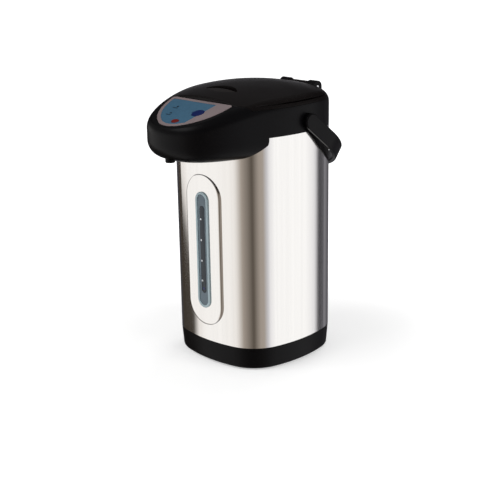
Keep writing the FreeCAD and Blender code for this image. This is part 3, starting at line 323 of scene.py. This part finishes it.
def brushing_group():
    """Fine straight scratches along one axis: a height, and streaks between 0 and 1."""
    group, start, end = new_group("Brushing", [
        ("Stretch", "NodeSocketVector", UPRIGHT_LINES),
    ], [("Height", "NodeSocketFloat"), ("Streaks", "NodeSocketFloat")])
    link = group.links.new
    place = add(group, "TexCoord")
    scale = add(group, "VectorMath", operation="MULTIPLY")
    link(place.outputs["Object"], scale.inputs[0])
    link(start.outputs["Stretch"], scale.inputs[1])
    slow = add(group, "VectorMath", operation="SCALE")
    slow.inputs["Scale"].default_value = STREAK_SCALE
    link(scale.outputs["Vector"], slow.inputs[0])
    for source, result in ((scale, "Height"), (slow, "Streaks")):
        noise = add(group, "TexNoise")
        noise.inputs["Scale"].default_value = 1.0
        noise.inputs["Detail"].default_value = 2.0
        link(source.outputs["Vector"], noise.inputs["Vector"])
        link(noise.outputs["Fac"], end.inputs[result])


def edge_group():
    """Worn or worked edges: 1 on convex edges, 0 elsewhere, broken up by noise."""
    group, start, end = new_group("EdgeWear", [
        ("Amount", "NodeSocketFloat", 1.0),
        ("Breakup", "NodeSocketFloat", 220.0),
    ], [("Mask", "NodeSocketFloat")])
    link = group.links.new
    shape = add(group, "NewGeometry")
    place = add(group, "TexCoord")
    noise = add(group, "TexNoise")
    link(place.outputs["Object"], noise.inputs["Vector"])
    link(start.outputs["Breakup"], noise.inputs["Scale"])
    broken = add(group, "Math", operation="MULTIPLY")
    link(map_range(group, shape.outputs["Pointiness"], EDGE_SPAN), broken.inputs[0])
    link(noise.outputs["Fac"], broken.inputs[1])
    scaled = add(group, "Math", operation="MULTIPLY", use_clamp=True)
    link(broken.outputs["Value"], scaled.inputs[0])
    link(start.outputs["Amount"], scaled.inputs[1])
    link(scaled.outputs["Value"], end.inputs["Mask"])


def blank(name):
    """A material with a Principled shader and nothing else."""
    material = bpy.data.materials.new(name)
    tree = bare_tree(material)
    shader = add(tree, "BsdfPrincipled")
    out = add(tree, "OutputMaterial")
    tree.links.new(shader.outputs["BSDF"], out.inputs["Surface"])
    return material, tree, shader


def moulded(name, colour, rough, specular, grain=0.25, coat=0.0):
    """Moulded plastic or rubber: mottled colour, fine grain, slightly paler edges."""
    material, tree, shader = blank(name)
    texture = use_group(tree, "MouldedGrain", Scale=GRAIN_SCALE)
    edges = use_group(tree, "EdgeWear", Amount=WORN_AMOUNT)
    mottle = texture.outputs["Mottle"]
    low, high = MOTTLE_SHADES
    mottled = colour_mix(tree, mottle, shade(colour, low), shade(colour, high))
    worn = colour_mix(tree, edges.outputs["Mask"], mottled, shade(colour, WORN_SHADE))
    tree.links.new(worn, shader.inputs["Base Color"])
    tree.links.new(map_range(tree, mottle, NOISE_SPAN, rough), shader.inputs["Roughness"])
    shader.inputs["Specular IOR Level"].default_value = specular
    shader.inputs["Coat Weight"].default_value = coat
    shader.inputs["Coat Roughness"].default_value = COAT_ROUGHNESS
    bump(tree, texture.outputs["Height"], shader, grain, GRAIN_DEPTH)
    return material


def brushed(name, colour, rough, stretch, strength=0.12):
    """Brushed or drawn metal: streaks in colour, roughness and height."""
    material, tree, shader = blank(name)
    texture = use_group(tree, "Brushing", Stretch=stretch)
    height = texture.outputs["Height"]
    low, high = STREAK_SHADES
    streaked = colour_mix(tree, texture.outputs["Streaks"], shade(colour, low), shade(colour, high))
    tree.links.new(streaked, shader.inputs["Base Color"])
    tree.links.new(map_range(tree, height, NOISE_SPAN, rough), shader.inputs["Roughness"])
    shader.inputs["Metallic"].default_value = 1.0
    bump(tree, height, shader, strength, SCRATCH_DEPTH)
    return material


def translucent(name, colour, weight):
    """Clear or smoky plastic and glass with faint mottling."""
    material, tree, shader = blank(name)
    texture = use_group(tree, "MouldedGrain", Scale=CLEAR_SCALE)
    mottle = texture.outputs["Mottle"]
    low, high = CLEAR_SHADES
    mottled = colour_mix(tree, mottle, shade(colour, low), shade(colour, high))
    tree.links.new(mottled, shader.inputs["Base Color"])
    tree.links.new(map_range(tree, mottle, NOISE_SPAN, CLEAR_ROUGHNESS), shader.inputs["Roughness"])
    shader.inputs["Transmission Weight"].default_value = weight
    shader.inputs["IOR"].default_value = CLEAR_BENDING
    bump(tree, texture.outputs["Height"], shader, CLEAR_GRAIN, CLEAR_DEPTH)
    return material


def finishes():
    """Every finish, by the record's material slot."""
    grain_group()
    brushing_group()
    edge_group()
    colours = bpy.context.scene.pot_colours
    return {
        "black_plastic": moulded("black_plastic", colours.plastic, (0.3, 0.38), 0.1),
        "lever_plastic": moulded("lever_plastic", tint(30, 26, 25), (0.34, 0.42), 0.15),
        "rubber_grey": moulded("rubber", tint(48, 48, 50), (0.7, 0.85), 0.2, 0.5),
        "brushed_steel": brushed("brushed_steel", colours.steel, (0.1, 0.15), UPRIGHT_LINES, 0.05),
        "pot_steel": brushed("drawn_steel", tint(225, 225, 226), (0.18, 0.28), DRAWN_RINGS),
        "screw_steel": brushed("screw_steel", tint(190, 192, 196), (0.25, 0.35), EVEN_SCRATCHES),
        "motor_steel": brushed("motor_steel", tint(175, 177, 180), (0.3, 0.4), EVEN_SCRATCHES),
        "cast_aluminium": brushed(
            "cast_aluminium", tint(185, 187, 190), (0.4, 0.55), EVEN_SCRATCHES, 0.5),
        "brass": brushed("brass", tint(205, 172, 98), (0.22, 0.32), EVEN_SCRATCHES),
        "clear_plastic": translucent("clear_plastic", tint(190, 205, 214), 0.35),
        "gauge_tint": translucent("gauge_tint", tint(118, 136, 148), 0.25),
        "float_blue": moulded("float_blue", tint(24, 38, 104), (0.15, 0.2), 0.5, 0.05),
        "silicone": moulded("silicone", tint(214, 214, 210), (0.45, 0.55), 0.4, 0.1),
        "white_plastic": moulded("white_plastic", tint(222, 221, 215), (0.35, 0.45), 0.4),
        "circuit_board": moulded("circuit_board", tint(38, 84, 52), (0.3, 0.4), 0.4),
        "panel_silver": moulded(
            "panel_silver", colours.film_silver, (0.3, 0.38), 0.5, 0.1, 0.15),
        "panel_blue": moulded("panel_blue", colours.film_blue, (0.2, 0.28), 0.2, 0.05),
        "lamp": moulded("lamp", tint(6, 11, 24), (0.3, 0.4), 0.1, 0.02),
        "key_blue": moulded("key_blue", colours.dispense_blue, (0.25, 0.32), 0.15, 0.1),
        "key_red": moulded("key_red", colours.reboil_red, (0.25, 0.32), 0.15, 0.1),
    }


def new_object(name, work, material):
    """Turn a bmesh into an object of the scene."""
    data = bpy.data.meshes.new(name)
    work.to_mesh(data)
    work.free()
    data.materials.append(material)
    piece = bpy.data.objects.new(name, data)
    bpy.context.scene.collection.objects.link(piece)
    return piece


def mesh_piece(name, work, body, material, smooth=True):
    """Turn a bmesh in the row frame into a piece that rides on a body."""
    bmesh.ops.recalc_face_normals(work, faces=work.faces)
    piece = new_object(name, work, material)
    for face in piece.data.polygons:
        face.use_smooth = smooth
    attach(piece, body)


def bridge(work, low, high):
    """Join two loops of as many points with a band of faces."""
    for i in range(len(low)):
        after = (i + 1) % len(low)
        work.faces.new((low[i], low[after], high[after], high[i]))


def button(work, centre, half_wide, half_tall, height):
    """A low domed oval on the gauge, built loop by loop up to its tip."""
    out = RIGHT.cross(UP)
    last = None
    for ring in range(MARK_RINGS):
        angle = math.pi / 2 * ring / MARK_RINGS
        spread = math.cos(angle)
        lift = out * (height * math.sin(angle))
        loop = []
        for i in range(MARK_SIDES):
            turn = 2 * math.pi * i / MARK_SIDES
            x = RIGHT * (half_wide * spread * math.cos(turn))
            y = UP * (half_tall * spread * math.sin(turn))
            loop.append(work.verts.new(centre + x + y + lift))
        if last:
            bridge(work, last, loop)
        else:
            work.faces.new(list(reversed(loop)))
        last = loop
    tip = work.verts.new(centre + out * height)
    for i in range(MARK_SIDES):
        work.faces.new((last[i], last[(i + 1) % MARK_SIDES], tip))


def pill_loop(work, y, inset):
    """A loop of points round an upright pill in the gauge's plane."""
    radius = LENS_HALF - inset
    low, high = LENS_ENDS[0] + LENS_HALF, LENS_ENDS[1] - LENS_HALF
    loop = []
    for middle, start in ((high, 0.0), (low, math.pi)):
        for step in range(LENS_STEPS + 1):
            turn = start + math.pi * step / LENS_STEPS
            place = (radius * math.cos(turn), y, middle + radius * math.sin(turn))
            loop.append(work.verts.new(place))
    return loop


def panel_point(x, y, lift):
    """A point in the panel's own plane, in millimetres, as a place in the row frame."""
    return PANEL_TOP + PANEL_TURN @ Vector((x * MM, y * MM, lift * MM))


def bar(work, centre, half_wide, half_tall, height):
    """A thin printed bar on the panel with a bevelled top."""
    across = PANEL_TURN @ RIGHT
    up = PANEL_TURN @ Vector((0.0, 1.0, 0.0))
    bevel = half_tall * (1 - LINE_TOP)
    loops = []
    for inset, lift in ((0.0, 0.0), (bevel, height)):
        wide, tall = half_wide - inset, half_tall - inset
        middle = centre + across.cross(up) * lift
        corners = ((-wide, -tall), (wide, -tall), (wide, tall), (-wide, tall))
        loops.append([work.verts.new(middle + across * x + up * y) for x, y in corners])
    low, high = loops
    work.faces.new(list(reversed(low)))
    work.faces.new(high)
    bridge(work, low, high)


class OBJECT_OT_pot_finishes(bpy.types.Operator):
    """Give every part of the pot its material"""
    bl_idname = "object.pot_finishes"
    bl_label = "Finish all parts"

    def execute(self, context):
        materials = finishes()
        lid_black = moulded(
            "lid_plastic", context.scene.pot_colours.lid_plastic, (0.32, 0.4), 0.13)
        # the clear bezel gets an opaque pale blue-grey: partly its own tint, partly a painted
        # highlight standing in for the light caught along its rim
        rim = moulded("gauge_rim_painted_highlight", tint(176, 196, 202), (0.14, 0.2), 0.5, 0.05)
        own = {"lid_cover": lid_black, "steam_vent": lid_black, "gauge_bezel": rim}
        slots = {entry["node"]: entry["material_slot"] for entry in frame["record"]["subparts"]}
        for node, piece in frame["nodes"].items():
            material = own.get(node) or materials[slots[node]]
            if not piece.material_slots:
                piece.data.materials.append(material)
            for holder in piece.material_slots:
                holder.material = material
        return {"FINISHED"}


class OBJECT_OT_pot_gauge_lens(bpy.types.Operator):
    """Fill the gauge's recess with a smoky lens strip"""
    bl_idname = "object.pot_gauge_lens"
    bl_label = "Gauge lens"

    def execute(self, context):
        smoke = moulded("lens_smoke", tint(56, 62, 68), (0.1, 0.16), 0.25, 0.03)
        work = bmesh.new()
        front = LENS_BACK - LENS_THICKNESS
        loops = [pill_loop(work, LENS_BACK, 0.0)]
        for behind, inset in LENS_ROUNDING:
            loops.append(pill_loop(work, front + LENS_RIM * behind, LENS_RIM * inset))
        for low, high in zip(loops, loops[1:]):
            bridge(work, low, high)
        work.faces.new(loops[0])
        work.faces.new(loops[-1])
        mesh_piece("gauge_lens", work, "pot", smoke)
        return {"FINISHED"}


class OBJECT_OT_pot_level_marks(bpy.types.Operator):
    """Print the row of level dots and the low-water spot on the gauge lens"""
    bl_idname = "object.pot_level_marks"
    bl_label = "Level marks"

    def execute(self, context):
        sizes = context.scene.pot_sizes
        white = moulded("mark_white", tint(236, 240, 242), (0.3, 0.4), 0.4, 0.05)
        blue = moulded("mark_blue", tint(22, 34, 84), (0.16, 0.22), 0.5, 0.05)
        work = bmesh.new()
        for height in MARK_HEIGHTS:
            centre = Vector((MARK_X, MARK_FRONT, height))
            button(work, centre, sizes.mark_radius, sizes.mark_radius, sizes.mark_height)
        mesh_piece("level_marks", work, "pot", white)
        work = bmesh.new()
        centre = Vector((0.0, MARK_FRONT, SPOT_HEIGHT))
        half_tall = sizes.spot_radius * SPOT_FLATTENING
        button(work, centre, sizes.spot_radius, half_tall, sizes.mark_height)
        mesh_piece("low_mark", work, "pot", blue)
        return {"FINISHED"}


class OBJECT_OT_pot_panel_print(bpy.types.Operator):
    """Print a short line beside each lamp on the panel"""
    bl_idname = "object.pot_panel_print"
    bl_label = "Panel print"

    def execute(self, context):
        sizes = context.scene.pot_sizes
        dark = moulded("print_dark", tint(12, 24, 38), (0.3, 0.4), 0.1, 0.05)
        work = bmesh.new()
        for x, y in LAMP_PLACES:
            centre = panel_point(x + LINE_SHIFT[0], y + LINE_SHIFT[1], LINE_LIFT)
            bar(work, centre, LINE_HALF, sizes.print_width / 2, LINE_HEIGHT)
        mesh_piece("panel_print", work, "pot", dark, smooth=False)
        return {"FINISHED"}


def tent_material():
    """Light tent seen only in reflections: pale and dark cloths by direction, dim at the top."""
    material = bpy.data.materials.new("tent")
    tree = bare_tree(material)
    link = tree.links.new
    place = add(tree, "NewGeometry")
    split = add(tree, "SeparateXYZ")
    link(place.outputs["Position"], split.inputs["Vector"])
    angle = add(tree, "Math", operation="ARCTAN2")
    link(split.outputs["Y"], angle.inputs[0])
    link(split.outputs["X"], angle.inputs[1])
    # the black cloth that the steel's left edge mirrors leans outwards towards the ground
    slant = LEAN * LEAN_REACH
    lean = map_range(
        tree, split.outputs["Z"], (LEAN_FROM - LEAN_REACH, LEAN_FROM + LEAN_REACH), (-slant, slant))
    share = map_range(tree, angle.outputs["Value"], LEAN_SHARE, (1.0, 0.0))
    slanted = add(tree, "Math", operation="MULTIPLY_ADD")
    link(lean, slanted.inputs[0])
    link(share, slanted.inputs[1])
    link(angle.outputs["Value"], slanted.inputs[2])
    ramp = add(tree, "ValToRGB")
    link(map_range(tree, slanted.outputs["Value"], (-math.pi, math.pi)), ramp.inputs["Fac"])
    stops = ramp.color_ramp.elements
    for number, (degrees, level) in enumerate(TENT_CLOTHS):
        where = (degrees + 180) / 360
        stop = stops[number] if number < 2 else stops.new(where)
        stop.position = where
        stop.color = cloth(level, degrees)
    glow = add(tree, "Emission")
    link(ramp.outputs["Color"], glow.inputs["Color"])
    link(map_range(tree, split.outputs["Z"], DIM_HEIGHTS, DIM_LEVEL), glow.inputs["Strength"])
    out = add(tree, "OutputMaterial")
    link(glow.outputs["Emission"], out.inputs["Surface"])
    return material


def white_floor_material():
    """Plain pale floor: paper white in front of the camera, with the pot's shadow on it."""
    material = bpy.data.materials.new("floor_paper")
    tree = bare_tree(material)
    link = tree.links.new
    noise = add(tree, "TexNoise")
    noise.inputs["Scale"].default_value = PAPER_SCALE
    paper = add(tree, "BsdfDiffuse")
    low, high = PAPER_SHADES
    link(colour_mix(tree, noise.outputs["Fac"], grey(low), grey(high)), paper.inputs["Color"])
    place = add(tree, "NewGeometry")
    reach = add(tree, "VectorMath", operation="LENGTH")
    link(place.outputs["Position"], reach.inputs[0])
    rise = map_range(
        tree, reach.outputs["Value"], GLOW_DISTANCE, GLOW_LEVEL, interpolation_type="SMOOTHSTEP")
    rays = add(tree, "LightPath")
    level = add(tree, "Math", operation="MULTIPLY")
    link(rays.outputs["Is Camera Ray"], level.inputs[0])
    link(rise, level.inputs[1])
    glow = add(tree, "Emission")
    link(level.outputs["Value"], glow.inputs["Strength"])
    both = add(tree, "AddShader")
    link(paper.outputs["BSDF"], both.inputs[0])
    link(glow.outputs["Emission"], both.inputs[1])
    out = add(tree, "OutputMaterial")
    link(both.outputs["Shader"], out.inputs["Surface"])
    return material


def backdrop(tree, strength):
    """A world background of one strength."""
    node = add(tree, "Background")
    node.inputs["Strength"].default_value = strength
    return node


def studio_world():
    """White to the camera and through glass, a soft level for light, a dimmer one for gloss."""
    world = bpy.data.worlds.new("studio")
    bpy.context.scene.world = world
    tree = bare_tree(world)
    link = tree.links.new
    rays = add(tree, "LightPath")
    lit = add(tree, "MixShader")
    link(rays.outputs["Is Glossy Ray"], lit.inputs["Fac"])
    link(backdrop(tree, WORLD_FILL).outputs["Background"], lit.inputs[1])
    link(backdrop(tree, WORLD_GLOSS).outputs["Background"], lit.inputs[2])
    seen = add(tree, "Math", operation="MAXIMUM")
    link(rays.outputs["Is Camera Ray"], seen.inputs[0])
    link(rays.outputs["Is Transmission Ray"], seen.inputs[1])
    white = backdrop(tree, WORLD_WHITE)
    white.inputs["Color"].default_value = grey(1.0)
    pick = add(tree, "MixShader")
    link(seen.outputs["Value"], pick.inputs["Fac"])
    link(lit.outputs["Shader"], pick.inputs[1])
    link(white.outputs["Background"], pick.inputs[2])
    out = add(tree, "OutputWorld")
    link(pick.outputs["Shader"], out.inputs["Surface"])


def soft_light(name, place, size, power):
    """A large square lamp aimed at the pot's middle."""
    lamp = bpy.data.lights.new(name, "AREA")
    lamp.size = size
    lamp.energy = power
    holder = bpy.data.objects.new(name, lamp)
    holder.location = place
    aim = POT_MIDDLE - Vector(place)
    holder.rotation_euler = aim.to_track_quat("-Z", "Y").to_euler()
    bpy.context.scene.collection.objects.link(holder)
    return holder


def photo_camera():
    """The camera at the photograph's place."""
    camera = bpy.data.cameras.new("photo_camera")
    camera.lens = CAMERA_LENS
    camera.sensor_width = CAMERA_SENSOR
    camera.clip_start = CAMERA_NEAR
    holder = bpy.data.objects.new("photo_camera", camera)
    turn = Matrix((CAMERA_RIGHT, CAMERA_UP, -CAMERA_AHEAD)).transposed().to_4x4()
    holder.matrix_world = Matrix.Translation(CAMERA_PLACE) @ turn
    bpy.context.scene.collection.objects.link(holder)
    bpy.context.scene.camera = holder


class OBJECT_OT_pot_stage(bpy.types.Operator):
    """Set up the pale floor, the light tent, the lamps and the camera"""
    bl_idname = "object.pot_stage"
    bl_label = "Studio"

    def execute(self, context):
        work = bmesh.new()
        bmesh.ops.create_grid(work, x_segments=2, y_segments=2, size=FLOOR_HALF)
        floor = new_object("floor", work, white_floor_material())
        floor.visible_glossy = False
        work = bmesh.new()
        bmesh.ops.create_cone(
            work, cap_ends=False, segments=TENT_SIDES, radius1=TENT_RADIUS, radius2=TENT_RADIUS,
            depth=TENT_HEIGHT, matrix=Matrix.Translation((0.0, 0.0, TENT_MIDDLE)))
        tent = new_object("tent", work, tent_material())
        tent.visible_camera = False
        tent.visible_diffuse = False
        tent.visible_shadow = False
        tent.visible_transmission = False
        studio_world()
        for name, place, size, power, in_gloss in SOFT_LIGHTS:
            soft_light(name, place, size, power).visible_glossy = in_gloss
        photo_camera()
        context.scene.view_settings.view_transform = "Standard"
        return {"FINISHED"}


class VIEW3D_PT_thermo_pot(bpy.types.Panel):
    """Sizes, colours and steps of the thermo pot"""
    bl_label = "Thermo pot"
    bl_space_type = "VIEW_3D"
    bl_region_type = "UI"
    bl_category = "Thermo pot"

    def draw(self, context):
        layout = self.layout
        for group in (context.scene.pot_sizes, context.scene.pot_colours):
            for name in group.bl_rna.properties.keys():
                if name not in ("rna_type", "name"):
                    layout.prop(group, name)
        for operator in STEPS:
            layout.operator(operator.bl_idname)


STEPS = (
    OBJECT_OT_pot_stage,
    OBJECT_OT_pot_finishes,
    OBJECT_OT_pot_gauge_lens,
    OBJECT_OT_pot_level_marks,
    OBJECT_OT_pot_panel_print,
)
CLASSES = (PotSizes, PotColours, VIEW3D_PT_thermo_pot) + STEPS


def register():
    for item in CLASSES:
        bpy.utils.register_class(item)
    bpy.types.Scene.pot_sizes = bpy.props.PointerProperty(type=PotSizes)
    bpy.types.Scene.pot_colours = bpy.props.PointerProperty(type=PotColours)


def unregister():
    del bpy.types.Scene.pot_colours
    del bpy.types.Scene.pot_sizes
    for item in reversed(CLASSES):
        bpy.utils.unregister_class(item)


def main():
    register()
    bpy.ops.object.pot_stage()
    bpy.ops.object.pot_finishes()
    bpy.ops.object.pot_gauge_lens()
    bpy.ops.object.pot_level_marks()
    bpy.ops.object.pot_panel_print()


if __name__ == "__main__":
    main()
